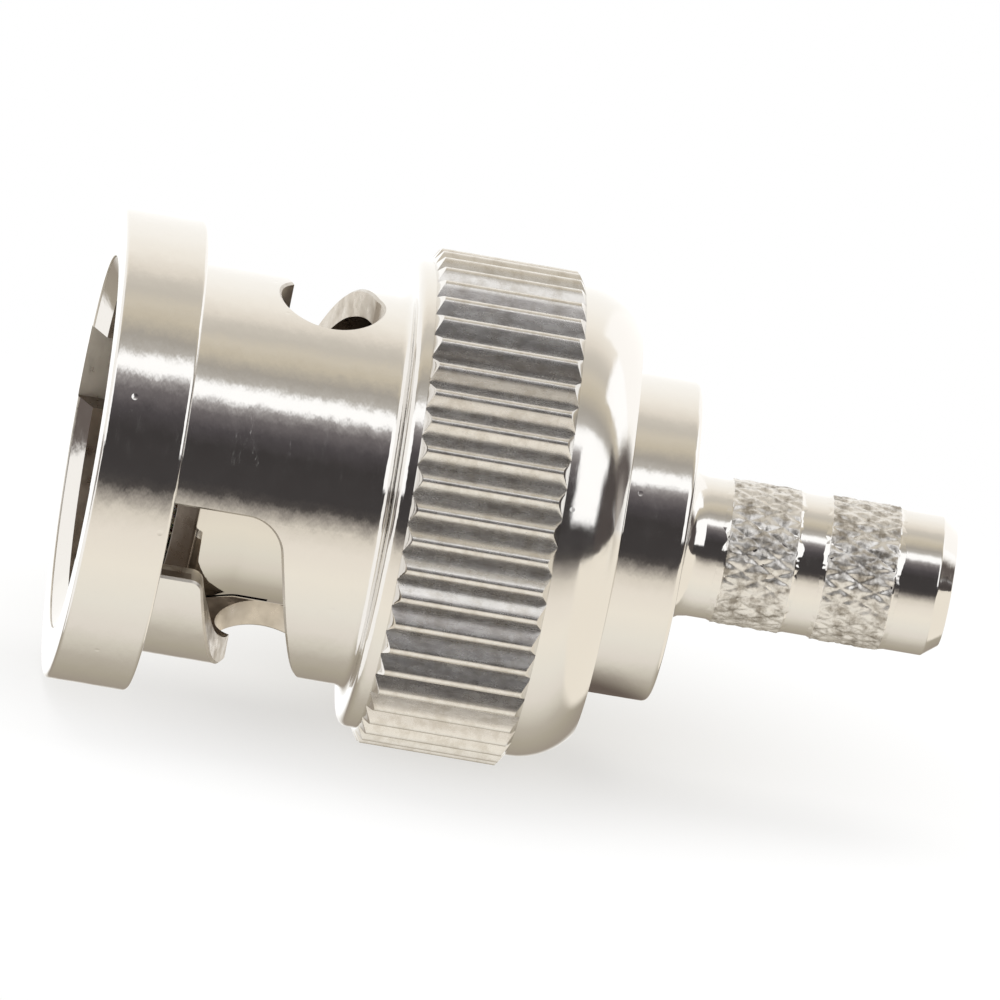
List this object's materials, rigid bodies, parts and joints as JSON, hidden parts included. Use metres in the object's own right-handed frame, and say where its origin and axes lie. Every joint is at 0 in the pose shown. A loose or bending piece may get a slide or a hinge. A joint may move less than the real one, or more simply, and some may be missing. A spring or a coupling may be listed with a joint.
{
  "type": "bnc crimp plug",
  "caption": "Male bayonet coaxial crimp plug: free-turning fluted coupling nut with curved slots, sprung inner contact sleeve and a banded crimp stem.",
  "frame": {"origin": "centre of the coupling nut's front face, which stands on z = 0", "axes": "+Z runs along the connector's axis from the mating face to the cable end; -Y faces the picture's camera and -X points up in the picture"},
  "size_m": [0.0144, 0.0144, 0.0254],
  "materials": {
    "nickel_plate": "bright nickel plate over turned brass",
    "contact_plate": "satin nickel plate over sprung brass",
    "gold_plate": "bright gold plate over brass",
    "insulator": "smooth matt white fluoropolymer",
    "seal_rubber": "matt moulded silicone",
    "spring_steel": "bright rolled strip"
  },
  "bodies": {
    "plug": {"outer_contact": "contact_plate", "front_insulator": "insulator", "rear_insulator": "insulator", "centre_pin": "gold_plate", "rear_body": "nickel_plate", "gasket": "seal_rubber", "front_washer": "spring_steel", "wave_washer": "spring_steel"},
    "nut_seat": {"rear_washer": "spring_steel"},
    "nut": {"coupling_nut": "nickel_plate"}
  },
  "joints": [
    {"name": "nut_slide", "type": "slide", "parent": "plug", "child": "nut_seat", "axis": [0, 0, 1], "range_m": [-0.0008, 0], "stiffness_N_per_m": 12000, "springref_m": 0.0003, "deforming": ["wave_washer"]},
    {"name": "nut_turn", "type": "hinge", "parent": "nut_seat", "child": "nut", "pos_m": [0, 0, 0], "axis": [0, 0, 1], "continuous": true}
  ]
}
